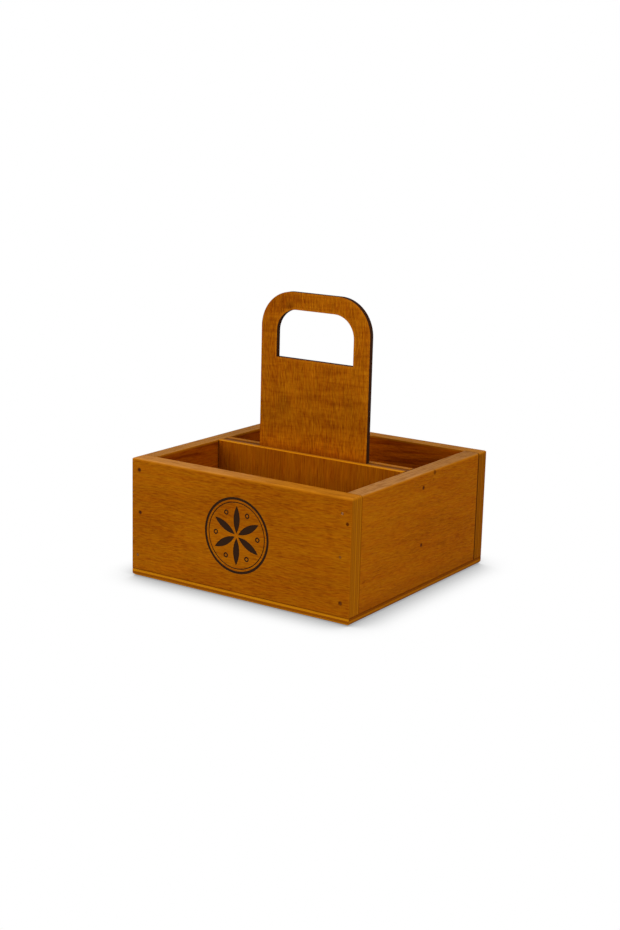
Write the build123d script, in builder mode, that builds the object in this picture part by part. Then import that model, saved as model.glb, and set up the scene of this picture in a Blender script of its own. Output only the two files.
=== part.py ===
from build123d import *
import os

# An open table caddy for sauce bottles, nailed together from plywood: four thick walls on a thin
# base, and across the middle a sandwich of two thin boards with the handle panel between them.
#
# Millimetres. The origin is at the middle of the underside. X runs to the right along the front,
# the front faces -Y, and Z is up.

# --- Overall sizes ---------------------------------------------------------------------------------
caddy_width = 185.0
caddy_depth = 185.0
wall_height = 81.5  # the four walls alone, which stand on the base

# --- Boards ----------------------------------------------------------------------------------------
wall_thickness = 12.0
base_thickness = 5.7
divider_board_thickness = 5.5
handle_thickness = 4.0
divider_end_gap = 0.7  # between each end of the divider and the side wall
shoulder_drop = 0.4  # the handle panel's shoulders lie this far below the divider boards

# --- Sanded edges ----------------------------------------------------------------------------------
rim_radius = 1.8  # outer edge along the top of the walls
corner_radius = 0.8  # upright outer corners of the walls and the base
inner_edge_radius = 0.5  # top edges inside the walls, and the divider's own top edges
seam_ease = 0.3  # small chamfer on both sides of every seam
base_edge_radius = 3.4  # lower outer edge of the base

# --- Handle ----------------------------------------------------------------------------------------
grip_width = 92.5
grip_rise = 115.7  # from the top of the walls to the top of the handle
grip_corner_radius = 26.5
hand_hole_width = 65.6
hand_hole_height = 35.4
hand_hole_corner_radius = 16.5  # the two upper corners; the lower two are square
hand_hole_top_margin = 12.6  # wood left above the hole

# --- Brads -----------------------------------------------------------------------------------------
brad_diameter = 1.4
brad_head_diameter = 2.2
brad_head_thickness = 0.6
brad_point_length = 2.5
brad_sink = 0.3  # head below the face of the board
wall_brad_length = 30.0
base_brad_length = 20.0
# Corner brads, from the lowest up: how far in from the side as a share of the wall's thickness, and
# how far up as a share of the wall's height. The front ones were driven a little unevenly.
front_left_brad_marks = ((0.43, 0.13), (0.63, 0.52), (0.56, 0.90))
front_right_brad_marks = ((0.59, 0.115), (0.69, 0.50), (0.63, 0.865))
back_brad_marks = ((0.5, 0.125), (0.5, 0.51), (0.5, 0.90))
divider_brad_low = 29.5  # lower divider brad, above the base
divider_brad_high = 10.5  # upper divider brad, below the rim
base_brad_inset = 30.0  # outer base brads of front and back, in from the ends
base_brad_clearance = 17.5  # base brads of the sides, past the points of the corner brads

# --- Burnt ornament on the front -------------------------------------------------------------------
ornament_height = 46.0  # its centre, above the ground
ornament_radius = 27.0
ornament_depth = 0.3
ring_width = 1.8
inner_ring_gap = 1.4
inner_ring_width = 0.7
petal_count = 6
petal_start = 1.6  # the petals stop short of the centre
petal_tip_gap = 2.0  # and short of the inner ring
bud_radius = 1.9
bud_tip_gap = 3.6
seed_radius = 0.9

# --- Levels and faces that several boards share ----------------------------------------------------
rim_level = base_thickness + wall_height
front_face_y = -caddy_depth / 2
back_face_y = caddy_depth / 2
side_face_x = caddy_width / 2
inner_width = caddy_width - 2 * wall_thickness
inner_depth = caddy_depth - 2 * wall_thickness
wall_middle_x = side_face_x - wall_thickness / 2
wall_middle_y = back_face_y - wall_thickness / 2
divider_length = inner_width - 2 * divider_end_gap
handle_top = rim_level + grip_rise

os.makedirs("parts", exist_ok=True)


def save(piece, name):
    """Label a finished piece and write it to its own file."""
    piece.part.label = name
    export_step(piece.part, f"parts/{name}.step")


# --- Outer form of the box -------------------------------------------------------------------------
# The walls and the base were sanded together after nailing, so one rounded block gives them all
# their outer edges.
with BuildPart() as sanded_form:
    with BuildSketch():
        RectangleRounded(caddy_width, caddy_depth, corner_radius)
    extrude(amount=rim_level)
    for view, length in ((Plane.XZ, caddy_width), (Plane.YZ, caddy_depth)):
        with BuildSketch(view) as outline:
            Rectangle(length, rim_level, align=(Align.CENTER, Align.MIN))
            fillet(outline.vertices().group_by(Axis.Y)[-1], rim_radius)
            fillet(outline.vertices().group_by(Axis.Y)[0], base_edge_radius)
        extrude(amount=max(caddy_width, caddy_depth), both=True, mode=Mode.INTERSECT)


# --- Brads -----------------------------------------------------------------------------------------
def brad(length, pocket=0.0):
    """A brad along -Z with its head at the board's face, or with a pocket, the hole it sits in."""
    head_top = -brad_sink + pocket
    head_under = -brad_sink - brad_head_thickness
    with BuildPart() as one:
        with BuildSketch(Plane.XZ):
            with BuildLine():
                Polyline(
                    (0, head_top),
                    (brad_head_diameter / 2, head_top),
                    (brad_head_diameter / 2, head_under),
                    (brad_diameter / 2, head_under),
                    (brad_diameter / 2, brad_point_length - length),
                    (0, -length),
                    close=True,
                )
            make_face()
        revolve(axis=Axis.Z)
    return one.part


wall_brad = brad(wall_brad_length)
wall_brad_hole = brad(wall_brad_length, pocket=2 * brad_sink)
base_brad = brad(base_brad_length)
base_brad_hole = brad(base_brad_length, pocket=2 * brad_sink)

corner_brad_marks = {
    (-1, -1): front_left_brad_marks,
    (1, -1): front_right_brad_marks,
    (-1, 1): back_brad_marks,
    (1, 1): back_brad_marks,
}
divider_brad_levels = (base_thickness + divider_brad_low, rim_level - divider_brad_high)
side_base_brad_y = caddy_depth / 2 - wall_brad_length - base_brad_clearance
end_base_brad_x = caddy_width / 2 - base_brad_inset


def corner_brad_places(side, end):
    """Faces of the three brads at one corner: side is -1 left, 1 right; end is -1 front, 1 back."""
    places = []
    for share_in, share_up in corner_brad_marks[side, end]:
        x = side * (side_face_x - share_in * wall_thickness)
        z = base_thickness + share_up * wall_height
        places.append(Plane(origin=(x, end * back_face_y, z), z_dir=(0, end, 0)))
    return places


def divider_brad_places(side):
    """Faces of the two brads through one side wall into the divider's end."""
    return [
        Plane(origin=(side * side_face_x, 0, level), z_dir=(side, 0, 0))
        for level in divider_brad_levels
    ]


def base_brad_places(centres):
    """Faces of brads driven up through the base at the given places in plan."""
    return [Plane(origin=(x, y, 0), z_dir=(0, 0, -1)) for x, y in centres]


base_front_places = base_brad_places([(x, -wall_middle_y) for x in (-end_base_brad_x, 0, end_base_brad_x)])
base_back_places = base_brad_places([(x, wall_middle_y) for x in (-end_base_brad_x, 0, end_base_brad_x)])
base_left_places = base_brad_places([(-wall_middle_x, y) for y in (-side_base_brad_y, side_base_brad_y)])
base_right_places = base_brad_places([(wall_middle_x, y) for y in (-side_base_brad_y, side_base_brad_y)])

brad_groups = {
    "front_left_brads": (wall_brad, corner_brad_places(-1, -1)),
    "front_right_brads": (wall_brad, corner_brad_places(1, -1)),
    "back_left_brads": (wall_brad, corner_brad_places(-1, 1)),
    "back_right_brads": (wall_brad, corner_brad_places(1, 1)),
    "divider_left_brads": (wall_brad, divider_brad_places(-1)),
    "divider_right_brads": (wall_brad, divider_brad_places(1)),
    "base_front_brads": (base_brad, base_front_places),
    "base_back_brads": (base_brad, base_back_places),
    "base_left_brads": (base_brad, base_left_places),
    "base_right_brads": (base_brad, base_right_places),
}
for group_name, (one_brad, places) in brad_groups.items():
    with BuildPart() as brad_group:
        with Locations(*places):
            add(one_brad)
    save(brad_group, group_name)


# --- Burnt ornament --------------------------------------------------------------------------------
# A compass rosette in two rings, a shallow cut in the front panel's face.
inner_ring_outer = ornament_radius - ring_width - inner_ring_gap
inner_ring_inner = inner_ring_outer - inner_ring_width
petal_length = inner_ring_inner - petal_tip_gap - petal_start
bud_distance = inner_ring_inner - bud_tip_gap - bud_radius
front_face = Plane(origin=(0, front_face_y, ornament_height), x_dir=(1, 0, 0), z_dir=(0, -1, 0))

with BuildSketch() as petal:
    with BuildLine():
        RadiusArc((0, 0), (petal_length, 0), petal_length)
        RadiusArc((petal_length, 0), (0, 0), petal_length)
    make_face()

with BuildSketch(front_face) as ornament:
    Circle(ornament_radius)
    Circle(ornament_radius - ring_width, mode=Mode.SUBTRACT)
    Circle(inner_ring_outer)
    Circle(inner_ring_inner, mode=Mode.SUBTRACT)
    with PolarLocations(petal_start, petal_count, start_angle=90):
        add(petal.sketch)
    with PolarLocations(bud_distance, petal_count, start_angle=90 + 180 / petal_count):
        Circle(bud_radius)
        Circle(seed_radius, mode=Mode.SUBTRACT)


# --- Walls -----------------------------------------------------------------------------------------
with BuildPart() as front_panel:
    with Locations((0, front_face_y, base_thickness)):
        Box(caddy_width, wall_thickness, wall_height, align=(Align.CENTER, Align.MIN, Align.MIN))
    add(sanded_form.part, mode=Mode.INTERSECT)
    seam_edges = front_panel.edges().filter_by(Axis.Z).group_by(Axis.Y)[-1]
    seam_edges += front_panel.edges().group_by(Axis.Z)[0].sort_by(Axis.Y)[:-1]
    chamfer(seam_edges, seam_ease)
    inner_edge = front_panel.edges().filter_by(Axis.X).group_by(Axis.Z)[-1].sort_by(Axis.Y)[-1]
    fillet(inner_edge, inner_edge_radius)
    with Locations(*corner_brad_places(-1, -1), *corner_brad_places(1, -1)):
        add(wall_brad_hole, mode=Mode.SUBTRACT)
    with Locations(*base_front_places):
        add(base_brad_hole, mode=Mode.SUBTRACT)
    extrude(ornament.sketch, amount=-ornament_depth, mode=Mode.SUBTRACT)
save(front_panel, "front_panel")

with BuildPart() as back_panel:
    with Locations((0, back_face_y, base_thickness)):
        Box(caddy_width, wall_thickness, wall_height, align=(Align.CENTER, Align.MAX, Align.MIN))
    add(sanded_form.part, mode=Mode.INTERSECT)
    seam_edges = back_panel.edges().filter_by(Axis.Z).group_by(Axis.Y)[0]
    seam_edges += back_panel.edges().group_by(Axis.Z)[0].sort_by(Axis.Y)[1:]
    chamfer(seam_edges, seam_ease)
    inner_edge = back_panel.edges().filter_by(Axis.X).group_by(Axis.Z)[-1].sort_by(Axis.Y)[0]
    fillet(inner_edge, inner_edge_radius)
    with Locations(*corner_brad_places(-1, 1), *corner_brad_places(1, 1)):
        add(wall_brad_hole, mode=Mode.SUBTRACT)
    with Locations(*base_back_places):
        add(base_brad_hole, mode=Mode.SUBTRACT)
save(back_panel, "back_panel")

for side_name, side, base_places in (
    ("left_side", -1, base_left_places),
    ("right_side", 1, base_right_places),
):
    with BuildPart() as side_panel:
        with Locations((side * wall_middle_x, 0, base_thickness)):
            Box(wall_thickness, inner_depth, wall_height, align=(Align.CENTER, Align.CENTER, Align.MIN))
        add(sanded_form.part, mode=Mode.INTERSECT)
        inward = Axis((0, 0, 0), (-side, 0, 0))
        inner_edge = side_panel.edges().filter_by(Axis.Y).group_by(Axis.Z)[-1].sort_by(inward)[-1]
        fillet(inner_edge, inner_edge_radius)
        outer_lower_edge = side_panel.edges().filter_by(Axis.Y).group_by(Axis.Z)[0].sort_by(inward)[0]
        chamfer(outer_lower_edge, seam_ease)
        end_faces = side_panel.faces().filter_by(Axis.Y)
        chamfer(end_faces.edges(), seam_ease)
        with Locations(*corner_brad_places(side, -1), *corner_brad_places(side, 1)):
            add(wall_brad_hole, mode=Mode.SUBTRACT)
        with Locations(*divider_brad_places(side)):
            add(wall_brad_hole, mode=Mode.SUBTRACT)
        with Locations(*base_places):
            add(base_brad_hole, mode=Mode.SUBTRACT)
    save(side_panel, side_name)

# --- Base ------------------------------------------------------------------------------------------
with BuildPart() as base_panel:
    Box(caddy_width, caddy_depth, base_thickness, align=(Align.CENTER, Align.CENTER, Align.MIN))
    add(sanded_form.part, mode=Mode.INTERSECT)
    chamfer(base_panel.faces().sort_by(Axis.Z)[-1].outer_wire().edges(), seam_ease)
    with Locations(*base_front_places, *base_back_places, *base_left_places, *base_right_places):
        add(base_brad_hole, mode=Mode.SUBTRACT)
save(base_panel, "base_panel")

# --- Divider ---------------------------------------------------------------------------------------
for board_name, end in (("divider_front_board", -1), ("divider_back_board", 1)):
    board_middle = end * (handle_thickness + divider_board_thickness) / 2
    with BuildPart() as divider_board:
        with Locations((0, board_middle, base_thickness)):
            Box(
                divider_length,
                divider_board_thickness,
                wall_height,
                align=(Align.CENTER, Align.CENTER, Align.MIN),
            )
        fillet(
            divider_board.edges().filter_by(Axis.X).group_by(Axis.Z)[-1],
            inner_edge_radius,
        )
    save(divider_board, board_name)

with BuildPart() as handle_panel:
    with BuildSketch(Plane.XZ) as outline:
        with Locations((0, base_thickness)):
            Rectangle(divider_length, wall_height - shoulder_drop, align=(Align.CENTER, Align.MIN))
            Rectangle(grip_width, handle_top - base_thickness, align=(Align.CENTER, Align.MIN))
        fillet(outline.vertices().group_by(Axis.Y)[-1], grip_corner_radius)
    extrude(amount=handle_thickness / 2, both=True)
    with BuildSketch(Plane.XZ) as hand_hole:
        with Locations((0, handle_top - hand_hole_top_margin)):
            Rectangle(hand_hole_width, hand_hole_height, align=(Align.CENTER, Align.MAX))
        fillet(hand_hole.vertices().group_by(Axis.Y)[-1], hand_hole_corner_radius)
    extrude(amount=handle_thickness, both=True, mode=Mode.SUBTRACT)
    with Locations(*divider_brad_places(-1), *divider_brad_places(1)):
        add(wall_brad_hole, mode=Mode.SUBTRACT)
save(handle_panel, "handle_panel")
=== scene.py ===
# %% [markdown]
# # A nailed plywood table caddy
#
# The caddy is an open box of thick stained plywood on a thin base. Two thin boards cross its middle
# and hold an upright handle board between them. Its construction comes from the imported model, which
# this script loads as a fixed frame in metres. X runs to the right along the front, the front faces
# -Y and Z is up. The shapes are all there already, down to the burnt ornament and the brads. This
# script adds what the model has none of: the camera, the light, and the finish of every piece.

import math

import bpy
from mathutils import Matrix, Vector


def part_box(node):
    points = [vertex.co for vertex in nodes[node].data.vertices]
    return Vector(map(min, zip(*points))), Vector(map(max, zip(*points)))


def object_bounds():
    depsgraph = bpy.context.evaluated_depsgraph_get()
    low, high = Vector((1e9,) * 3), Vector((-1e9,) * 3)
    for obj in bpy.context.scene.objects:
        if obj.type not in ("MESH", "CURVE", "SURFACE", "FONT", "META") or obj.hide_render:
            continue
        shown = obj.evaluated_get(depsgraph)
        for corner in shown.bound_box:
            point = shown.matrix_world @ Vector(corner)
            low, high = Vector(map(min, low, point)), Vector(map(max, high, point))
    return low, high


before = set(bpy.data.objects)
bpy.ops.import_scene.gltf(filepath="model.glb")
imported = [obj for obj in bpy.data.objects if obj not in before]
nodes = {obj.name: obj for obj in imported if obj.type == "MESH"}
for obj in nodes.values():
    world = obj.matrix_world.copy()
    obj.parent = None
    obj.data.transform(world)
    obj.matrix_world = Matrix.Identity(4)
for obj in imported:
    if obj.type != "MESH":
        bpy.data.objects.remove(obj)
cad_low, cad_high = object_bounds()
mm = 0.001

bpy.ops.object.select_all(action="DESELECT")
print(f"{len(nodes)} pieces, {(cad_high - cad_low) / mm} mm over all")

# %% [markdown]
# ## Camera
#
# A photograph's camera is found from straight edges whose real lengths are known. Here the rims,
# the upright corners and the handle gave a place in front of the near corner, a little above the
# caddy, and a lens a bit longer than normal. A constraint that tracks the caddy would be easier to
# set, but it can't roll. So the camera is turned by three plain angles: its heading, how far it
# looks down, and a slight roll, because the photograph isn't quite level.

# %% Place the camera
CAMERA_PLACE = Vector((0.6207, -0.9395, 0.3457))
CAMERA_HEADING = math.radians(33.56)
CAMERA_LOOKS_DOWN = math.radians(13.34)
CAMERA_ROLL = math.radians(1.48)
LENS_MM = 61.8
SENSOR_MM = 36.0

camera_data = bpy.data.cameras.new("camera")
camera_data.lens = LENS_MM
camera_data.sensor_width = SENSOR_MM
camera = bpy.data.objects.new("camera", camera_data)
bpy.context.scene.collection.objects.link(camera)
camera.matrix_world = (
    Matrix.Translation(CAMERA_PLACE)
    @ Matrix.Rotation(CAMERA_HEADING, 4, "Z")
    @ Matrix.Rotation(math.pi / 2 - CAMERA_LOOKS_DOWN, 4, "X")
    @ Matrix.Rotation(CAMERA_ROLL, 4, "Z")
)
bpy.context.scene.camera = camera
print(f"camera {CAMERA_PLACE.length:.3f} m from the caddy's foot")

# %% [markdown]
# ## Lamps
#
# A product photograph on white uses big soft lamps, so there are no hard shadows. A sun or a small
# lamp would draw sharp edges of shadow inside the box. One large square lamp stands at the front
# left and one at the right, both rather low, so that the outer faces are bright and the inside of
# the box stays deep. A weak lamp above picks out the rims. Their powers are set so that a colour
# comes out about as it is written.

# %% Hang the lamps
LAMPS = (
    # name, place in metres, width in metres, watts
    ("front_left_lamp", (-0.75, -1.7, 0.85), 1.1, 19.5),
    ("right_lamp", (1.85, -0.35, 0.85), 1.1, 21.5),
    ("top_lamp", (0.2, -0.3, 1.9), 0.9, 9),
)


def soft_lamp(name, place, target, width, power):
    """A square soft lamp at a place, turned to a target."""
    lamp_data = bpy.data.lights.new(name, "AREA")
    lamp_data.size = width
    lamp_data.energy = power
    lamp = bpy.data.objects.new(name, lamp_data)
    bpy.context.scene.collection.objects.link(lamp)
    lamp.location = place
    lamp.rotation_euler = (Vector(target) - Vector(place)).to_track_quat("-Z", "Y").to_euler()


middle = (cad_low + cad_high) / 2
for name, place, width, power in LAMPS:
    soft_lamp(name, place, middle, width, power)
print(f"{len(LAMPS)} soft lamps")

# %% [markdown]
# ## White room
#
# The white room, which is the world, fills the shadows from all sides. If it were as bright as the
# white behind the caddy looks, it would wash out the wood. So the world has two backgrounds. A dim
# one lights the caddy, and a white one is seen by rays that come straight from the camera or off a
# shiny or clear surface. The Light Path node tells them apart.

# %% Build the white room
ROOM_LIGHT = 0.30
BACKDROP_LIGHT = 1.0

world = bpy.data.worlds.new("white_room")
bpy.context.scene.world = world
world.use_nodes = True
sky = world.node_tree
sky.nodes.clear()
rays = sky.nodes.new("ShaderNodeLightPath")
seen = sky.nodes.new("ShaderNodeMath")
shiny = sky.nodes.new("ShaderNodeMath")
for either in (seen, shiny):
    either.operation = "MAXIMUM"
room = sky.nodes.new("ShaderNodeBackground")
backdrop = sky.nodes.new("ShaderNodeBackground")
for background, strength in ((room, ROOM_LIGHT), (backdrop, BACKDROP_LIGHT)):
    background.inputs["Color"].default_value = (1, 1, 1, 1)
    background.inputs["Strength"].default_value = strength
choose = sky.nodes.new("ShaderNodeMixShader")
sky_out = sky.nodes.new("ShaderNodeOutputWorld")
for output, socket in (
    (rays.outputs["Is Glossy Ray"], shiny.inputs[0]),
    (rays.outputs["Is Transmission Ray"], shiny.inputs[1]),
    (rays.outputs["Is Camera Ray"], seen.inputs[0]),
    (shiny.outputs[0], seen.inputs[1]),
    (seen.outputs[0], choose.inputs["Fac"]),
    (room.outputs[0], choose.inputs[1]),
    (backdrop.outputs[0], choose.inputs[2]),
    (choose.outputs[0], sky_out.inputs["Surface"]),
):
    sky.links.new(output, socket)
bpy.context.scene.view_settings.view_transform = "Standard"
print(f"room light {ROOM_LIGHT}, backdrop {BACKDROP_LIGHT}")

# %% [markdown]
# ## Short ways to write nodes
#
# A finish could be an image of wood, but that would show some other board's grain and blur close
# up. Here every finish is built from nodes that read Object coordinates, which stay with a piece
# from any side. Nodes take many lines to write in Python, so a small class keeps them short. It
# adds a node, sets its sockets, and links whatever is given as another node's output.


# %% Nodes and sums
class NodeMaker:
    """A new material, with short ways to add nodes and to reckon with them."""

    def __init__(self, name):
        self.material = bpy.data.materials.new(name)
        self.material.use_nodes = True
        self.tree = self.material.node_tree
        self.shader = self.tree.nodes["Principled BSDF"]
        place = self.add("ShaderNodeTexCoord").outputs["Object"]
        self.place = self.math3("SCALE", place, scale=1 / mm)

    def add(self, kind, **settings):
        node = self.tree.nodes.new(kind)
        for key, value in settings.items():
            setattr(node, key, value)
        return node

    def put(self, socket, value):
        if isinstance(value, bpy.types.NodeSocket):
            self.tree.links.new(value, socket)
        else:
            socket.default_value = value

    def math(self, operation, a, b=0.0, c=0.0):
        node = self.add("ShaderNodeMath", operation=operation)
        for socket, value in zip(node.inputs, (a, b, c)):
            self.put(socket, value)
        return node.outputs[0]

    def math3(self, operation, a, b=(0, 0, 0), scale=1.0):
        node = self.add("ShaderNodeVectorMath", operation=operation)
        self.put(node.inputs[0], a)
        self.put(node.inputs[1], b)
        node.inputs["Scale"].default_value = scale
        return node.outputs[0]

    def apart(self, vector):
        """The three parts of a vector, by axis."""
        node = self.add("ShaderNodeSeparateXYZ")
        self.put(node.inputs[0], vector)
        return dict(zip("xyz", node.outputs))


print("node maker ready")

# %% [markdown]
# Finishes need a few more words. A step turns a value into a soft mask from 0 to 1. A noise is a
# random pattern that is the same in each run. A weighted sum lays several patterns over each other,
# a ramp gives the result its colour, and a mix puts one colour over another.


# %% Patterns and colours
class Finish(NodeMaker):
    """A material under construction, with masks, patterns and colours."""

    def step(self, value, low, high):
        """0 below low, 1 above high, smooth between them. With high under low it falls."""
        node = self.add("ShaderNodeMapRange", interpolation_type="SMOOTHSTEP")
        for key, number in (("Value", value), ("From Min", low), ("From Max", high)):
            self.put(node.inputs[key], number)
        return node.outputs["Result"]

    def both(self, first, *others):
        """Masks multiplied together, so that the result is 1 only where all of them are."""
        for other in others:
            first = self.math("MULTIPLY", first, other)
        return first

    def noise(self, vector, detail=2.0, rough=0.5):
        node = self.add("ShaderNodeTexNoise")
        self.put(node.inputs["Vector"], vector)
        for key, number in (("Scale", 1.0), ("Detail", detail), ("Roughness", rough)):
            node.inputs[key].default_value = number
        return node.outputs["Fac"]

    def sum(self, *terms):
        """Add terms of (factor, value), where a value is a number or another node's output."""
        linked = [isinstance(value, bpy.types.NodeSocket) for factor, value in terms]
        total = sum(factor * value for (factor, value), link in zip(terms, linked) if not link)
        for (factor, value), link in zip(terms, linked):
            if link and factor != 0.0:
                total = self.math("MULTIPLY_ADD", value, factor, total)
        return total

    def ramp(self, value, stops):
        """Turn a tone from 0 to 1 into colours, given as (tone, colour) from dark to light."""
        node = self.add("ShaderNodeValToRGB")
        marks = node.color_ramp.elements
        while len(marks) < len(stops):
            marks.new(0.5)
        for mark, (tone, colour) in zip(marks, stops):
            mark.position = tone
            mark.color = colour
        self.put(node.inputs["Fac"], value)
        return node.outputs["Color"]

    def mix(self, fraction, a, b, blend="MIX"):
        node = self.add("ShaderNodeMix", data_type="RGBA", blend_type=blend)
        self.put(node.inputs["Factor"], fraction)
        self.put(node.inputs[6], a)
        self.put(node.inputs[7], b)
        return node.outputs[2]


print("patterns and colours ready")

# %% [markdown]
# ## Colours of the stain
#
# The stain is an orange-brown that soaks in unevenly: dark places are redder and light places are
# more golden, so one ramp of five colours serves every layer of the grain. Colours are given on a
# 0 to 255 scale, as on a screen, and shaders want linear light, so a function turns one into the
# other. A few more colours are for what a workshop and long use do to any of the boards: cut ends,
# dark seams, stains, and arrises worn to gold.

# %% Colours of the stain
LINEAR_BELOW = 10


def srgb(red, green, blue):
    """A colour given on a 0 to 255 scale, as the linear values that shaders use."""
    linear = [
        ((c / 255 + 0.055) / 1.055) ** 2.4 if c > LINEAR_BELOW else c / 255 / 12.92
        for c in (red, green, blue)
    ]
    return (*linear, 1.0)


STAIN = (
    (0.00, srgb(88, 31, 1)),
    (0.30, srgb(124, 59, 2)),
    (0.50, srgb(148, 82, 3)),
    (0.70, srgb(165, 98, 5)),
    (1.00, srgb(188, 122, 14)),
)
UMBER = srgb(84, 36, 2)
WORN_GOLD = srgb(184, 112, 14)
END_GRAIN = srgb(154, 91, 4)
END_DARK = srgb(122, 62, 3)
SEAM = srgb(96, 44, 2)
REDDISH = (1.02, 0.88, 0.8, 1.0)  # multiplied in, as are all colours given in this way
print(f"stain of {len(STAIN)} tones")

# %% [markdown]
# ## Stained plywood
#
# Each board is a sheet of plywood. Its face veneer shows long grain that runs almost, but never
# quite, along the board. Under the stain the grain is a scatter of short ripples, a few millimetres
# long and about a millimetre wide, on top of faint bands and clouds, with much finer fibres inside
# them. A wave texture would give even stripes, which real veneer never has. So each of these is a
# noise drawn out along the grain: the table gives how fast it changes per millimetre along and
# across, where in the noise it starts, and how detailed and rough it is.

# %% Layers of the grain
# per mm along, per mm across, start, detail, roughness
WANDER = (0.025, 0.04, 3.0, 2, 0.5)
CLOUDS = (0.014, 0.028, 5.0, 2, 0.5)
BANDS = (0.012, 0.20, 7.0, 3, 0.6)
RIPPLES = (0.15, 0.95, 13.0, 2, 0.6)
FIBRES = (0.06, 2.4, 19.0, 3, 0.7)
CROSS_BANDS = (0.17, 0.03, 23.0, 2, 0.5)
PORES = (0.20, 1.4, 29.0, 1, 0.5)
GLINTS = (0.20, 1.3, 37.0, 1, 0.5)
RED_STREAKS = (0.05, 0.45, 61.0, 3, 0.6)
print("eight layers of grain, and a wander that bends them")

# %% [markdown]
# A class holds one board and the run of its grain. It is told which way the grain runs, which way
# the sheet is thick, and how far the grain slants. From these it reckons two numbers for every
# point, along and across the grain, in millimetres. A slow noise lets the grain wander a little, as
# it does in a real log. The seed moves each board to another part of the noise.

# %% Run of the grain
WANDER_MM = 5.0


class Grain:
    """One plywood board, in millimetres of its own place, and the run of its grain."""

    def __init__(self, node_name, grain, thick, seed, slant):
        self.name = node_name
        self.finish = finish = Finish(node_name)
        self.low, self.high = (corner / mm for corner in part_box(node_name))
        self.at = finish.apart(finish.place)
        self.facing = finish.apart(finish.add("ShaderNodeNewGeometry").outputs["True Normal"])
        self.thick = thick
        self.seed = seed
        cross = ({"x", "y", "z"} - {grain, thick}).pop()
        cosine, sine = math.cos(math.radians(slant)), math.sin(math.radians(slant))
        self.along = finish.sum((cosine, self.at[grain]), (sine, self.at[cross]))
        self.across = finish.sum((cosine, self.at[cross]), (-sine, self.at[grain]))
        self.across = finish.sum((1.0, self.across), (WANDER_MM, self.streaks(*WANDER)))

    def stretch(self, along_scale, across_scale, start=0.0):
        """The board's place, squeezed along the grain so that noise drawn there lies in streaks."""
        finish = self.finish
        squeezed = (
            finish.math("MULTIPLY_ADD", self.along, along_scale, self.seed + start),
            finish.math("MULTIPLY", self.across, across_scale),
            finish.math("MULTIPLY", self.at[self.thick], across_scale),
        )
        joined = finish.add("ShaderNodeCombineXYZ")
        for socket, value in zip(joined.inputs, squeezed):
            finish.put(socket, value)
        return joined.outputs[0]

    def streaks(self, along_scale, across_scale, start, detail=2, rough=0.5, length=1.0):
        """A noise in streaks along the grain. Length draws them out."""
        squeezed = self.stretch(along_scale / length, across_scale, start)
        return self.finish.noise(squeezed, detail, rough)


print("grain runs along each board")

# %% [markdown]
# The stained veneer builds on that. The layers are added into a single tone from 0 to 1, each with
# its share, and the ramp turns that tone into stain. Ripples can be made stronger or longer, a
# figure of bands across the grain can be added, and the tone can be lighter or darker. The colour
# stays open, so that a board can add its own marks before it is closed. Closing joins the colour
# and a shallow relief to the shader. Oil stain hardly shines, so the specular level is close to
# nothing.

# %% Face of a veneer
CLOUD_SHARE, BAND_SHARE, RIPPLE_SHARE, FIBRE_SHARE = 0.26, 0.28, 0.62, 0.38
PORE_SHARE, GLINT_SHARE = -0.10, 0.08
RELIEF_DEPTH = 0.15 * mm


class Veneer(Grain):
    """The stained face of a board. Its colour stays open for marks until it is closed."""

    def __init__(
        self, node_name, grain, thick, seed, slant=0.0, ripple=1.0, length=1.0, figure=0.0, tone=0.5
    ):
        super().__init__(node_name, grain, thick, seed, slant)
        finish = self.finish
        self.ripples = self.streaks(*RIPPLES, length)
        self.fibres = self.streaks(*FIBRES)
        self.pores = finish.step(self.streaks(*PORES, length), 0.60, 0.76)
        glints = finish.step(self.streaks(*GLINTS, length), 0.62, 0.80)
        layers = (
            (CLOUD_SHARE, self.streaks(*CLOUDS)),
            (BAND_SHARE, self.streaks(*BANDS)),
            (RIPPLE_SHARE * ripple, self.ripples),
            (FIBRE_SHARE, self.fibres),
            (figure, self.streaks(*CROSS_BANDS)),
        )
        middle_of_noise = -0.5 * sum(share for share, layer in layers)
        specks = ((PORE_SHARE * ripple, self.pores), (GLINT_SHARE * ripple, glints))
        total = finish.sum(*layers, *specks, (1.0, tone + middle_of_noise))
        self.colour = finish.ramp(total, STAIN)
        self.deepen(finish.step(self.streaks(*RED_STREAKS), 0.38, 0.64), REDDISH, 0.7)

    def tint(self, mask, colour, strength=1.0, blend="MIX"):
        """Cover the board with a colour where the mask says, at some strength."""
        if strength != 1.0:
            mask = self.finish.math("MULTIPLY", mask, strength)
        self.colour = self.finish.mix(mask, self.colour, colour, blend)

    def deepen(self, mask, colour, strength=1.0):
        """Multiply a colour into the board, so that its grain still shows."""
        self.tint(mask, colour, strength, "MULTIPLY")

    def close(self, roughness=0.55, gloss=0.005, relief=0.35):
        """Join the colours and the relief to the shader and dress the board with them."""
        finish = self.finish
        shader = finish.shader
        finish.put(shader.inputs["Base Color"], self.colour)
        rough = finish.sum((-0.25, self.fibres), (1.0, roughness + 0.12))
        finish.put(shader.inputs["Roughness"], rough)
        shader.inputs["Specular IOR Level"].default_value = gloss
        bump = finish.add("ShaderNodeBump")
        bump.inputs["Strength"].default_value = relief
        bump.inputs["Distance"].default_value = RELIEF_DEPTH
        height = finish.sum((1.0, self.fibres), (0.8, self.ripples), (-0.8, self.pores))
        finish.put(bump.inputs["Height"], height)
        finish.put(shader.inputs["Normal"], bump.outputs[0])
        for slot in nodes[self.name].material_slots:
            slot.material = finish.material


print("veneer recipe ready")

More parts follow.
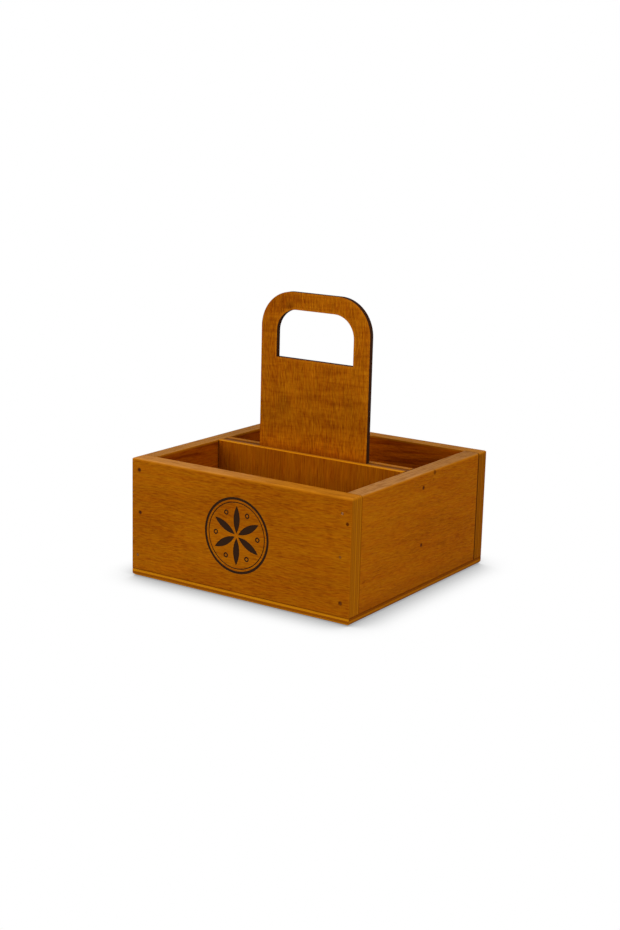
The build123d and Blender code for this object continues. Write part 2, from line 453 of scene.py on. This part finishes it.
# %% [markdown]
# ## Marks on a board
#
# A board also shows what was done to it. Masks find the places: the faces that look one way, a line
# at some level, a round spot, and the sawn edge with the layers of the sheet in it. A mask is
# reckoned from the board's own place and normal, so it holds at any resolution and needs no
# painting. Spots are wobbled by a noise, because no blotch is a true circle.


# %% A board with its marks
class Board(Veneer):
    """A veneered board, with masks for its faces, levels, spots and layers."""

    def towards(self, axis, sign=1.0):
        """1 on the faces that look along an axis, 0 on those that don't, soft on rounded edges."""
        return self.finish.step(self.finish.math("MULTIPLY", self.facing[axis], sign), 0.45, 0.92)

    def near(self, axis, level, reach):
        """1 where the board is at a level of an axis, falling to 0 at a reach from it."""
        finish = self.finish
        distance = finish.math("ABSOLUTE", finish.math("SUBTRACT", self.at[axis], level))
        return finish.step(distance, reach, 0.0)

    def spot(self, places, radius, soft):
        """A round mark, given by two axes and a centre: ((axis, centre), (axis, centre))."""
        finish = self.finish
        offsets = [finish.math("SUBTRACT", self.at[axis], centre) for axis, centre in places]
        squares = [finish.math("MULTIPLY", offset, offset) for offset in offsets]
        distance = finish.math("SQRT", finish.math("ADD", *squares))
        wobble = self.streaks(0.35, 0.35, 5.0)
        distance = finish.math("MULTIPLY_ADD", wobble, -0.5 * radius, distance)
        return finish.step(distance, radius + soft, radius - soft)

    def edges(self):
        """1 on the sheet's sawn edges, 0 on its two veneer faces."""
        return self.finish.step(self.finish.math("ABSOLUTE", self.facing[self.thick]), 0.90, 0.60)

    def plies(self, count):
        """Masks for a sawn edge: 1 in every second layer, and 1 on the glue lines between them."""
        finish = self.finish
        axis = "xyz".index(self.thick)
        thickness = (self.high[axis] - self.low[axis]) / count
        depth = finish.math("SUBTRACT", self.at[self.thick], self.low[axis])
        layer = finish.math("DIVIDE", depth, thickness)
        layer = finish.sum((1.0, layer), (0.36, self.streaks(0.03, 0.03, 3.0, 1)), (1.0, -0.18))
        within = finish.math("FRACT", layer)
        from_glue = finish.math("MINIMUM", within, finish.math("SUBTRACT", 1.0, within))
        off_middle = finish.math("ABSOLUTE", finish.math("SUBTRACT", layer, count / 2))
        inside = finish.math("LESS_THAN", off_middle, count / 2 - 0.5)
        second = finish.math("MODULO", finish.math("FLOOR", layer), 2.0)
        return second, finish.both(finish.step(from_glue, 0.15, 0.02), inside)


print("board recipe ready")

# %% [markdown]
# ## Walls from the inside
#
# Each wall is a 12 mm sheet. Inside the box the stain was brushed on thicker and wasn't rubbed off,
# and less light reaches in, so the inner faces are redder and darker, with long dark streaks where
# the stain pooled. Lamps alone can't give that, because their shade is grey, so the colour is
# multiplied in on the faces that look inwards. It is partly stain and partly painted shade.

# %% Stain the inner faces
wall_low, wall_high = (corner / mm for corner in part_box("front_panel"))
wall_thickness = wall_high.y - wall_low.y
outer = wall_high.x
inner = outer - wall_thickness
LONG_STREAKS = (0.02, 0.30, 41.0)
POOLED = (0.66, 0.50, 0.5, 1.0)


def stain_and_shade_inside(board, inward, inside):
    """The inner colour, stain with painted shade and on the back painted light, and long streaks of
    stain.
    """
    board.deepen(board.towards(*inward), inside)
    pooled = board.finish.step(board.streaks(*LONG_STREAKS), 0.47, 0.66)
    board.deepen(board.finish.both(pooled, board.towards(*inward)), POOLED)


print(f"walls {wall_thickness:.1f} mm thick")

# %% [markdown]
# ## Layered ends
#
# The front and back boards cover the ends of the sides, so their own sawn ends show at the corners,
# with five layers and thin glue lines. Every second layer is end grain, which drinks more stain and
# goes darker, and the outermost veneer is darker again. The ends at the back were stained more
# heavily. The layers could be cut into the mesh, but they are flush, so colour does it better.

# %% Show the layers in the ends
WALL_LAYERS = 5
FAR_END = (0.74, 0.66, 0.4, 1.0)
FAR_GLUE = (0.62, 0.5, 0.5, 1.0)


def show_layers(board, heavier):
    """Colour the sawn edges of a wall by layer, and give back the glue lines."""
    finish = board.finish
    second, glue = board.plies(WALL_LAYERS)
    end = finish.mix(finish.math("MULTIPLY", second, 0.3), END_GRAIN, END_DARK)
    grit = finish.step(board.fibres, 0.42, 0.70)
    end = finish.mix(finish.math("MULTIPLY", grit, 0.22), end, END_DARK)
    end = finish.mix(finish.math("MULTIPLY", glue, 0.6), end, SEAM)
    end = finish.mix(heavier, end, FAR_END, "MULTIPLY")
    end = finish.mix(finish.math("MULTIPLY", glue, heavier), end, FAR_GLUE, "MULTIPLY")
    if board.thick == "y":
        veneer = finish.step(finish.math("ABSOLUTE", board.at["y"]), outer - 2.2, outer - 1.2)
        end = finish.mix(finish.math("MULTIPLY", veneer, 0.5), end, END_DARK)
    board.tint(board.edges(), end)
    return glue


print(f"{WALL_LAYERS} layers in a wall")

# %% [markdown]
# ## Sanded rims
#
# The rims were sanded after staining, so they are paler, with a little more orange towards the near
# corner. Their pale colour also holds a painted sheen of the light from above. Sanding cuts across
# the layers of the sheet, which show as streaks along the rim. Hands wear the rounded top arrises
# first, down to gold. The rim is found by its normal and the worn band by its height, so neither
# needs an edge to be selected.

# %% Sand the rims
RIM_WEAR, RIM_TOP = 2.2, 0.4
HONEY_FROM_X, HONEY_FULL_X = -40, 50
BACK_FROM_Y, BACK_FULL_Y = -20, 60
RIM_HONEY = srgb(190, 117, 25)
RIM_STREAKS = (0.74, 0.67, 0.58, 1.0)
RIM_FURTHER_BACK = (0.88, 0.84, 0.72, 1.0)


def sand_rim(board, rim_colour_and_sheen, glue):
    """Wear the top arris to gold and lay the pale rim, sanded wood with a painted sheen, on the wall.
    """
    finish = board.finish
    worn = finish.step(board.at["z"], wall_high.z - RIM_WEAR, wall_high.z - RIM_TOP)
    board.tint(worn, WORN_GOLD, 0.6)
    streaks = board.streaks(0.05, 0.55, 17.0, 3, 0.6)
    rim = rim_colour_and_sheen
    if board.name == "front_panel":
        honey = finish.step(board.at["x"], HONEY_FROM_X, HONEY_FULL_X)
        rim = finish.mix(honey, rim, RIM_HONEY)
    rim = finish.mix(finish.step(streaks, 0.42, 0.68), rim, RIM_STREAKS, "MULTIPLY")
    if board.thick == "x":
        further_back = finish.step(board.at["y"], BACK_FROM_Y, BACK_FULL_Y)
        rim = finish.mix(further_back, rim, RIM_FURTHER_BACK, "MULTIPLY")
    rim = finish.mix(finish.math("MULTIPLY", glue, 0.8), rim, RIM_STREAKS, "MULTIPLY")
    # the rim colour: sanded wood with a painted sheen
    board.tint(board.towards("z"), rim)


print(f"rim worn {RIM_WEAR} mm down")

# %% [markdown]
# ## Seams
#
# The boards are glued and nailed with plain butt joints. The model has a small eased edge there,
# and dirt and stain gather in it, so each seam is a dark line. The one at the far right corner
# stands open and is nearly black, which is painted shade in its gap, and the far left one, which
# can't be seen, is taken to be the same. On top of the rim the sanding has partly cleaned the seams
# again. The side walls are also a little darker at their foot.

# %% Darken the seams
OPEN_SEAM_SHADE = srgb(56, 22, 2)
LOW_SEAM = 0.9
CORNER_SEAMS = (
    # level on Y, reach in mm, strength, colour
    (-inner, 0.9, 0.5, SEAM),
    # the back corners: an open seam, a dark joint with painted shade in its gap
    (inner, 1.5, 0.95, OPEN_SEAM_SHADE),
)
CLEANED_ON_TOP = 0.6
WALL_FOOT_HIGH, WALL_FOOT_LOW = 10.0, 3.0


def darken_foot(board):
    """The foot of a side wall is a little darker."""
    foot = board.finish.step(board.at["z"], wall_low.z + WALL_FOOT_HIGH, wall_low.z + WALL_FOOT_LOW)
    board.tint(foot, END_DARK, 0.35)


def shade_seams(board):
    """The seam on the base, and the upright ones between front or back board and side walls."""
    finish = board.finish
    board.tint(board.near("z", wall_low.z, LOW_SEAM), SEAM, 0.5 if board.thick == "x" else 0.3)
    for level, reach, strength, colour in CORNER_SEAMS:
        at_corner = finish.math("GREATER_THAN", finish.math("ABSOLUTE", board.at["x"]), inner + 0.5)
        line = finish.both(board.near("y", level, reach), at_corner)
        not_on_top = finish.sum((-CLEANED_ON_TOP, board.towards("z")), (1.0, 1.0))
        board.tint(finish.both(line, not_on_top), colour, strength)


print(f"{len(CORNER_SEAMS)} corner seams on each side")

# %% [markdown]
# ## Stain round the brads
#
# Some brads were driven before staining, and the stain pooled in a small ring round their heads.
# The heads' places are read from the mesh of the brads, lowest first, so that the rings stay with
# them if the brads move.

# %% Pool stain round the heads
RING_RADIUS = 1.25
HEAD_APART = 4


def head_centres(group, across_wall, outside):
    """Centres of the heads in a group of brads, from the lowest up, in millimetres."""
    points = [v.co / mm for v in nodes[group].data.vertices]
    face = outside(p[across_wall] for p in points)
    on_face = [p for p in points if abs(p[across_wall] - face) < 0.2]
    heads = []
    for point in sorted(on_face, key=lambda p: p.z):
        if heads and point.z - heads[-1][0].z < HEAD_APART:
            heads[-1].append(point)
        else:
            heads.append([point])
    return [sum(head, Vector()) / len(head) for head in heads]


def stain_round_heads(board, group, chosen):
    """Dark stain that pooled round some of a group's brad heads, counted from the lowest up."""
    on_front = board.thick == "y"
    centres = head_centres(group, "xyz".index(board.thick), min if on_front else max)
    across = "x" if on_front else "y"
    for number in chosen:
        centre = centres[number]
        ring = board.spot(((across, getattr(centre, across)), ("z", centre.z)), RING_RADIUS, 0.5)
        board.tint(ring, UMBER, 0.7)


print(f"stain pooled {RING_RADIUS} mm round the heads")

# %% [markdown]
# ## Burnt ornament
#
# A hot beam burnt a round ornament into the front, a few tenths of a millimetre deep. The cut is
# real in the model, so its walls catch the light. What is left is to char it. The cut is found by
# its depth behind the front face, inside a circle round its middle, and everything in it turns
# dark brown.

# %% Char the ornament
BURNT = srgb(47, 30, 19)


def burn_ornament(board):
    """Darken the floor and the walls of the ornament's shallow cut."""
    finish = board.finish
    points = [v.co / mm for v in nodes[board.name].data.vertices]
    below_rim = [p for p in points if abs(p.x) < outer / 2 and p.z < wall_high.z - 8]
    cut = [p for p in below_rim if 0.1 < p.y - wall_low.y < 0.6]
    cut_floor = max(p.y for p in cut)
    reach = max(abs(p.x) for p in cut)
    middle_height = (max(p.z for p in cut) + min(p.z for p in cut)) / 2
    below_face = finish.step(board.at["y"], wall_low.y + 0.05, wall_low.y + 0.15)
    shallow = finish.step(board.at["y"], cut_floor + 0.4, cut_floor + 0.2)
    round_it = board.spot((("x", 0.0), ("z", middle_height)), reach + 3.0, 0.5)
    board.tint(finish.both(below_face, shallow, round_it), BURNT)
    print(f"ornament {2 * reach:.1f} mm wide, {cut_floor - wall_low.y:.2f} mm deep")


print("ornament recipe ready")

# %% [markdown]
# ## The four walls
#
# Now the recipes run, board by board. A seed keeps the boards from sharing one pattern. The grain
# slants by a few degrees, more on the sides than on the front and back, as on sheets cut without
# much care. The front has a pin hole near its right edge. A small knot sits high on the right side,
# with a painted shadow just below it. The lamps hardly reach the inner face of the back, so light is
# painted there: its inner colour is lighter. The painted shade and stain inside the left wall differ
# a little too.

# %% Stain the walls
# inside the box: deeper stain with painted shade, multiplied in
INSIDE_STAIN_AND_SHADE = (0.80, 0.58, 0.60, 1.0)
# the left wall's inner face: deeper stain with painted shade, a little different
INSIDE_LEFT_STAIN_AND_SHADE = (0.86, 0.58, 0.6, 1.0)
# painted light: the back's inner face is lightened, because the lamps hardly reach it
INSIDE_BACK_PAINTED_LIGHT = (1.6, 1.15, 0.9, 1.0)
WALLS = (
    # board, grain, thick, seed, slant, inward, inner stain with painted shade and light, heavier
    # ends, rim and its painted sheen
    ("front_panel", "x", "y", 0.0, 2.0, ("y", 1), INSIDE_STAIN_AND_SHADE, 0.0, srgb(195, 129, 57)),
    ("back_panel", "x", "y", 31.0, 2.0, ("y", -1), INSIDE_BACK_PAINTED_LIGHT, 0.7, srgb(188, 122, 44)),
    ("left_side", "y", "x", 62.0, -3.0, ("x", 1), INSIDE_LEFT_STAIN_AND_SHADE, 0.0, srgb(176, 117, 52)),
    ("right_side", "y", "x", 93.0, -5.0, ("x", -1), INSIDE_STAIN_AND_SHADE, 0.0, srgb(180, 124, 66)),
)
SIDE_RIPPLE = 0.8
PIN_HOLE = (("x", 89.2), ("z", 69.7))
KNOT_AND_SHADOW = (
    # Y, Z, radius, strength
    (15.3, 84.9, 1.3, 0.8),
    # not a knot: a painted shadow just below the knot
    (13.6, 80.0, 0.9, 0.3),
)

for node_name, grain, thick, seed, slant, inward, inside, heavier, rim_colour_and_sheen in WALLS:
    board = Board(node_name, grain, thick, seed, slant, ripple=SIDE_RIPPLE if thick == "x" else 1.0)
    stain_and_shade_inside(board, inward, inside)
    glue = show_layers(board, heavier)
    if thick == "x":
        darken_foot(board)
    sand_rim(board, rim_colour_and_sheen, glue)
    shade_seams(board)
    if node_name == "front_panel":
        board.tint(board.spot(PIN_HOLE, 1.0, 0.5), UMBER)
        stain_round_heads(board, "front_left_brads", (1, 2))
        stain_round_heads(board, "front_right_brads", (0,))
        burn_ornament(board)
    if node_name == "right_side":
        stain_round_heads(board, "divider_right_brads", (0, 1))
        for spot_y, spot_z, size, strength in KNOT_AND_SHADOW:
            board.tint(board.spot((("y", spot_y), ("z", spot_z)), size, 0.8), UMBER, strength)
    board.close()
print(f"{len(WALLS)} walls stained")

# %% [markdown]
# ## Base
#
# The base is plywood of three layers. The outer ones run from side to side, so the front edge shows
# their pale long grain round the dark end grain of the core. On the side edges it is the other way
# round: a dark layer, a pale core, and a dark layer again. The normal tells which edge is which,
# and the difference of the two masks swaps the layers.

# %% Stain the base
BASE_LAYERS = 3
PLY_PALE, PLY_DARK = srgb(186, 118, 9), srgb(138, 74, 5)
SIDE_PLY_PALE, SIDE_PLY_DARK = srgb(152, 90, 5), srgb(118, 60, 2)

base = Board("base_panel", "x", "z", 124.0)
finish = base.finish
core = base.plies(BASE_LAYERS)[0]
sideways, forwards = (finish.math("ABSOLUTE", base.facing[axis]) for axis in "xy")
on_sides = finish.math("GREATER_THAN", sideways, forwards)
end_grain = finish.math("ABSOLUTE", finish.math("SUBTRACT", on_sides, core))
pale = finish.mix(on_sides, PLY_PALE, SIDE_PLY_PALE)
dark = finish.mix(on_sides, PLY_DARK, SIDE_PLY_DARK)
layers = finish.mix(end_grain, pale, dark)
grit = finish.step(base.fibres, 0.4, 0.7)
layers = finish.mix(finish.math("MULTIPLY", grit, 0.3), layers, dark)
base.tint(base.edges(), layers)
base.tint(base.near("z", base.high.z, 0.8), SEAM, 0.6)
# the floor inside the box: deeper stain with painted shade
base.deepen(base.towards("z"), INSIDE_STAIN_AND_SHADE)
base.close()
print(f"base {base.high.z - base.low.z:.1f} mm thick, in {BASE_LAYERS} layers")

# %% [markdown]
# ## Divider
#
# Two thin boards cross the box with the handle's foot between them. Their grain stands upright,
# with longer and stronger ripples than the walls have, and wide darker streaks. They lie in the
# shade of the box, and their middles catch the most light. The top edges are golden, most of all on
# the front arris, where the sanding went through the stain. Beside the handle board a dark line
# follows the joint, with painted shade in its narrow gap.

# %% Stain the divider
DIVIDER_BOARDS = (
    # board, seed, colour of the top arris
    ("divider_front_board", 155.0, srgb(204, 128, 12)),
    ("divider_back_board", 186.0, srgb(172, 104, 26)),
)
WIDE_STREAKS = (0.004, 0.09, 71.0)
DIVIDER_SHADE = (1.0, 0.83, 0.8, 1.0)
DIVIDER_STREAK = (0.84, 0.74, 0.7, 1.0)
MIDDLE_GLOW = (1.14, 1.14, 1.0, 1.0)
GLOW_X, GLOW_REACH = 5.0, 55.0
DIVIDER_TOP = srgb(166, 98, 20)
ARRIS_REACH = 4.0
JOINT_SHADE_REACH = 1.3

for node_name, seed, top_arris in DIVIDER_BOARDS:
    board = Board(node_name, "z", "y", seed, ripple=1.25, length=2.0, tone=0.57)
    finish = board.finish
    board.deepen(1.0, DIVIDER_SHADE)
    board.deepen(board.near("x", GLOW_X, GLOW_REACH), MIDDLE_GLOW)
    board.deepen(finish.step(board.streaks(*WIDE_STREAKS), 0.42, 0.62), DIVIDER_STREAK, 0.6)
    board.tint(board.edges(), END_DARK)
    board.tint(finish.step(board.facing["z"], 0.2, 0.7), DIVIDER_TOP)
    worn_arris = finish.both(board.near("y", board.low.y, ARRIS_REACH), board.towards("z"))
    board.tint(finish.step(worn_arris, 0.0, 0.45), top_arris)
    beside_handle = board.high.y if board.high.y < 0 else board.low.y
    # a dark joint line with painted shade in its narrow gap beside the handle
    board.tint(board.near("y", beside_handle, JOINT_SHADE_REACH), SEAM, 0.75)
    board.close()
print(f"{len(DIVIDER_BOARDS)} divider boards stained")

# %% [markdown]
# ## Handle
#
# The handle board is the thinnest sheet, with a lively veneer: strong short ripples and bands
# across the grain. It stands highest and catches the eye first, so it gets the most layers. First
# its shape is measured from its mesh: how wide the grip is above the box, and where the hand hole
# lies.

# %% Measure the handle
ABOVE_RIM = 5  # the grip's own width starts here
LEAST_FRAME = 8  # the hole keeps at least this far from the grip's outline
LEAST_HOLE = 20  # and at least this far above the rim

handle = Board("handle_panel", "z", "y", 217.0, slant=-3.0, ripple=1.6, figure=0.48, tone=0.60)
finish = handle.finish
shape = [v.co / mm for v in nodes["handle_panel"].data.vertices]
handle_top = handle.high.z
grip_half = max(p.x for p in shape if p.z > wall_high.z + ABOVE_RIM)
inside_grip = [p for p in shape if abs(p.x) < grip_half - LEAST_FRAME]
hole_edge = [
    p for p in inside_grip if wall_high.z + LEAST_HOLE < p.z < handle_top - LEAST_FRAME
]
hole_half = max(p.x for p in hole_edge)
hole_top, hole_bottom = max(p.z for p in hole_edge), min(p.z for p in hole_edge)
print(f"grip {2 * grip_half:.1f} mm wide")
print(f"hand hole {2 * hole_half:.1f} by {hole_top - hole_bottom:.1f} mm")

# %% [markdown]
# Stain soaks unevenly into this veneer and leaves a few soft blotches. They are round spots with a
# very soft edge, laid on at a low strength.

# %% Blotches on the handle
BLOTCHES = (
    # X, Z, radius, strength
    (-21.9, 192.6, 2.4, 0.45),
    (33.0, 127.7, 6.0, 0.18),
    (-26.2, 121.4, 5.0, 0.28),
    (-32.8, 104.2, 9.0, 0.14),
    (-10.5, 96.1, 9.0, 0.12),
)

for blotch_x, blotch_z, size, strength in BLOTCHES:
    handle.tint(handle.spot((("x", blotch_x), ("z", blotch_z)), size, 0.9 * size), UMBER, strength)
print(f"{len(BLOTCHES)} blotches")

# %% [markdown]
# The handle was cut by a hot beam, which charred its edges, and sanding then brightened a thin line
# just beside the cut. The Geometry node's pointiness would find edges too, but only as finely as
# the mesh's vertices allow. That line follows the outline, so it comes from the distance to a
# rounded rectangle: one for the outside of the grip and one for the hand hole, whose lower edge is
# straight. On the outside the line shows at the right and fades out towards the left.

# %% Bright line beside the cut
GRIP_ROUNDING = 26.5
HOLE_ROUNDING = 16.5


def outline_distance(board, half_width, top, bottom, radius):
    """Distance outside a rounded rectangle that is centred on X, negative within it."""
    finish = board.finish
    middle_z, half_height = (top + bottom) / 2, (top - bottom) / 2
    beyond_x = finish.sum((1.0, finish.math("ABSOLUTE", board.at["x"])), (1.0, radius - half_width))
    off_middle = finish.math("ABSOLUTE", finish.math("SUBTRACT", board.at["z"], middle_z))
    beyond_z = finish.sum((1.0, off_middle), (1.0, radius - half_height))
    out_x, out_z = (finish.math("MAXIMUM", beyond, 0.0) for beyond in (beyond_x, beyond_z))
    squares = finish.sum((1.0, finish.both(out_x, out_x)), (1.0, finish.both(out_z, out_z)))
    corner = finish.math("SQRT", squares)
    within = finish.math("MINIMUM", finish.math("MAXIMUM", beyond_x, beyond_z), 0.0)
    return finish.sum((1.0, corner), (1.0, within), (1.0, -radius))


from_outside = outline_distance(handle, grip_half, handle_top, 0.0, GRIP_ROUNDING)
from_outside = finish.math("MULTIPLY", from_outside, -1.0)
hole_foot = hole_bottom - HOLE_ROUNDING
from_hole = outline_distance(handle, hole_half, hole_top, hole_foot, HOLE_ROUNDING)
below_hole = finish.math("SUBTRACT", hole_bottom, handle.at["z"])
from_hole = finish.math("MAXIMUM", from_hole, below_hole)
right_part = finish.step(handle.at["x"], -20.0, 20.0)
for distance, strength in ((from_outside, right_part), (from_hole, 1.0)):
    bright = finish.both(finish.step(distance, 2.2, 0.8), finish.step(distance, 0.0, 0.6), strength)
    handle.tint(bright, WORN_GOLD, 0.45)
print("bright line round the hand hole and down the right of the grip")

# %% [markdown]
# Up close the veneer has dark threads along the grain and soft checks across it. Both are
# multiplied in, so that the grain below still shows through them.

# %% Threads and checks
THREADS = (0.05, 1.2, 53.0, 2, 0.6)
CHECKS = (0.42, 0.06, 59.0, 2, 0.6)
FINE_BROWN = (0.80, 0.70, 0.7, 1.0)

handle.deepen(finish.step(handle.streaks(*THREADS), 0.46, 0.66), FINE_BROWN, 0.5)
handle.deepen(finish.step(handle.streaks(*CHECKS), 0.44, 0.66), FINE_BROWN, 0.65)
print("threads and checks laid in")

# %% [markdown]
# Towards its foot the handle is lighter, with short dark dashes along the grain, and just above the
# divider a darker line closes it off: pooled stain, with painted shade where the handle meets the
# divider. These three fade with height, so there is no line where the foot begins. Thin golden
# threads then run over the whole board, and all of it turns a shade redder.

# %% Foot of the handle
LOW_PART_HIGH, LOW_PART_LOW = 28.0, 2.0
FOOT_HIGH = 5.0
DASHES = (0.10, 0.9, 47.0)
GOLD_THREADS = (0.10, 2.0, 67.0, 1)
LIGHTER_FOOT = (1.38, 1.32, 1.0, 1.0)
DASH_BROWN, FOOT_STAIN_AND_SHADE = srgb(112, 48, 1), srgb(112, 46, 1)
HANDLE_RED = (1.01, 0.93, 0.9, 1.0)

low_part = finish.step(handle.at["z"], wall_high.z + LOW_PART_HIGH, wall_high.z + LOW_PART_LOW)
handle.deepen(low_part, LIGHTER_FOOT)
dashes = finish.step(handle.streaks(*DASHES), 0.50, 0.62)
handle.tint(finish.both(dashes, low_part), DASH_BROWN, 0.35)
# painted shade where the handle meets the divider, with pooled stain
foot = finish.step(handle.at["z"], wall_high.z + FOOT_HIGH, wall_high.z)
handle.tint(foot, FOOT_STAIN_AND_SHADE, 0.6)
handle.tint(finish.step(handle.streaks(*GOLD_THREADS), 0.66, 0.78), WORN_GOLD, 0.5)
handle.deepen(1.0, HANDLE_RED)
print(f"foot darkened up to {FOOT_HIGH} mm above the rim")

# %% [markdown]
# The cut edges carry soot, a little unevenly. A flat black would look like paint, so two dark
# browns are mixed by the fibres. Where the board widens between the dividers, its top edge is
# charred too, and its paler brown is a painted sheen of the light from above.

# %% Soot on the cut edges
CHAR, CHAR_RED = srgb(46, 25, 13), srgb(56, 30, 16)
CHAR_WITH_SHEEN = srgb(112, 66, 30)

soot = finish.mix(finish.step(handle.fibres, 0.35, 0.7), CHAR, CHAR_RED)
handle.tint(handle.edges(), soot)
# the widened top edge: char with a painted sheen of the light from above
below_rim = finish.math("LESS_THAN", handle.at["z"], wall_high.z + 1.0)
handle.tint(finish.both(handle.towards("z"), below_rim), CHAR_WITH_SHEEN)
handle.close()
print("handle charred and closed")

# %% [markdown]
# ## Brads
#
# The heads of the brads are steel under a film of stain. Clean steel would flash white under the
# lamps, and these don't, so the finish is rough and only slightly metallic. Most heads are almost
# black, and on the front a few were sanded bright again. The palest of them also carries a painted
# highlight in its colour. The three brads at each end of the front stand one above the other, so the
# finish picks the tone of each head by height, from the lowest up, and a smear of dark stain lies
# over each.

# %% Brad steel
HEAD_DARK = srgb(70, 28, 4)
HEAD_BROWN = srgb(98, 50, 10)
HEAD_VIOLET = srgb(132, 84, 46)
# bare steel with a painted highlight
HEAD_PALE_HIGHLIGHT = srgb(168, 114, 66)
HEAD_GREEN = srgb(130, 78, 24)
HEAD_TONES = {
    # lowest, middle, highest
    "front_left_brads": (HEAD_VIOLET, HEAD_DARK, HEAD_DARK),
    "front_right_brads": (HEAD_BROWN, HEAD_GREEN, HEAD_PALE_HIGHLIGHT),
}
SMEARS_PER_MM = 1.6


def brad_steel(node_name):
    """Steel under a film of stain, with a tone for each third of the group's height."""
    low, high = (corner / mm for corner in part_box(node_name))
    lowest, middle_one, highest = HEAD_TONES.get(node_name, (HEAD_DARK,) * 3)
    steel = Finish(node_name)
    height = steel.apart(steel.place)["z"]
    third = (high.z - low.z) / 3
    above_first = steel.math("GREATER_THAN", height, low.z + third)
    above_second = steel.math("GREATER_THAN", height, low.z + 2 * third)
    tone = steel.mix(above_second, steel.mix(above_first, lowest, middle_one), highest)
    smears = steel.noise(steel.math3("SCALE", steel.place, scale=SMEARS_PER_MM))
    smear = steel.step(smears, 0.45, 0.7)
    steel.put(steel.shader.inputs["Base Color"], steel.mix(smear, tone, HEAD_DARK))
    steel.shader.inputs["Metallic"].default_value = 0.05
    steel.shader.inputs["Roughness"].default_value = 0.6
    steel.shader.inputs["Specular IOR Level"].default_value = 0.05
    return steel.material


brad_groups = [node_name for node_name in nodes if node_name.endswith("_brads")]
for node_name in brad_groups:
    steel_material = brad_steel(node_name)
    for slot in nodes[node_name].material_slots:
        slot.material = steel_material
print(f"{len(brad_groups)} groups of brads dulled")

# %% [markdown]
# ## Floor
#
# A plain pale floor catches the caddy's soft shadow. Light that bounces off orange wood would tinge
# it, and a product photograph has that tinge taken out. So for the camera the floor is white, and
# only as dark as the caddy's nearness makes it, which an ambient occlusion node measures. For all
# other rays it stays an ordinary pale surface that gives its light back to the wood.

# %% Lay the floor
FLOOR_RADIUS = 3.0
FLOOR_GREY = (0.8, 0.8, 0.8, 1)
SHADE_REACH = 0.030
SHADE_DEPTH = 0.62
NEAREST = 0.30

bpy.ops.object.select_all(action="DESELECT")
bpy.ops.mesh.primitive_circle_add(vertices=96, radius=FLOOR_RADIUS, fill_type="NGON")
floor = bpy.context.object
floor.name = "floor"
paint = Finish("pale_floor")
paint.put(paint.shader.inputs["Base Color"], FLOOR_GREY)
paint.shader.inputs["Roughness"].default_value = 0.8
paint.shader.inputs["Specular IOR Level"].default_value = 0.1
nearness = paint.add("ShaderNodeAmbientOcclusion", samples=16)
nearness.inputs["Distance"].default_value = SHADE_REACH
openness = paint.step(nearness.outputs["AO"], NEAREST, 1.0)
shade = paint.sum((SHADE_DEPTH, openness), (1.0, 1.0 - SHADE_DEPTH))
print(f"floor {2 * FLOOR_RADIUS:.0f} m across, shaded within {SHADE_REACH / mm:.0f} mm")

# %% [markdown]
# The white that the camera sees is an Emission shader, which no lamp can tinge. Its brightness is
# the shade from the cell above, the same in red, green and blue. A Mix Shader gives it to camera
# rays and the pale paint to all others.

# %% What the camera sees of the floor
white = paint.add("ShaderNodeEmission")
grey = paint.add("ShaderNodeCombineColor")
for socket in grey.inputs:
    paint.put(socket, shade)
paint.put(white.inputs["Color"], grey.outputs[0])
floor_rays = paint.add("ShaderNodeLightPath")
chosen = paint.add("ShaderNodeMixShader")
paint.put(chosen.inputs["Fac"], floor_rays.outputs["Is Camera Ray"])
paint.put(chosen.inputs[1], paint.shader.outputs[0])
paint.put(chosen.inputs[2], white.outputs[0])
paint.put(paint.tree.nodes["Material Output"].inputs["Surface"], chosen.outputs[0])
floor.data.materials.append(paint.material)
print("floor is white for the camera only")
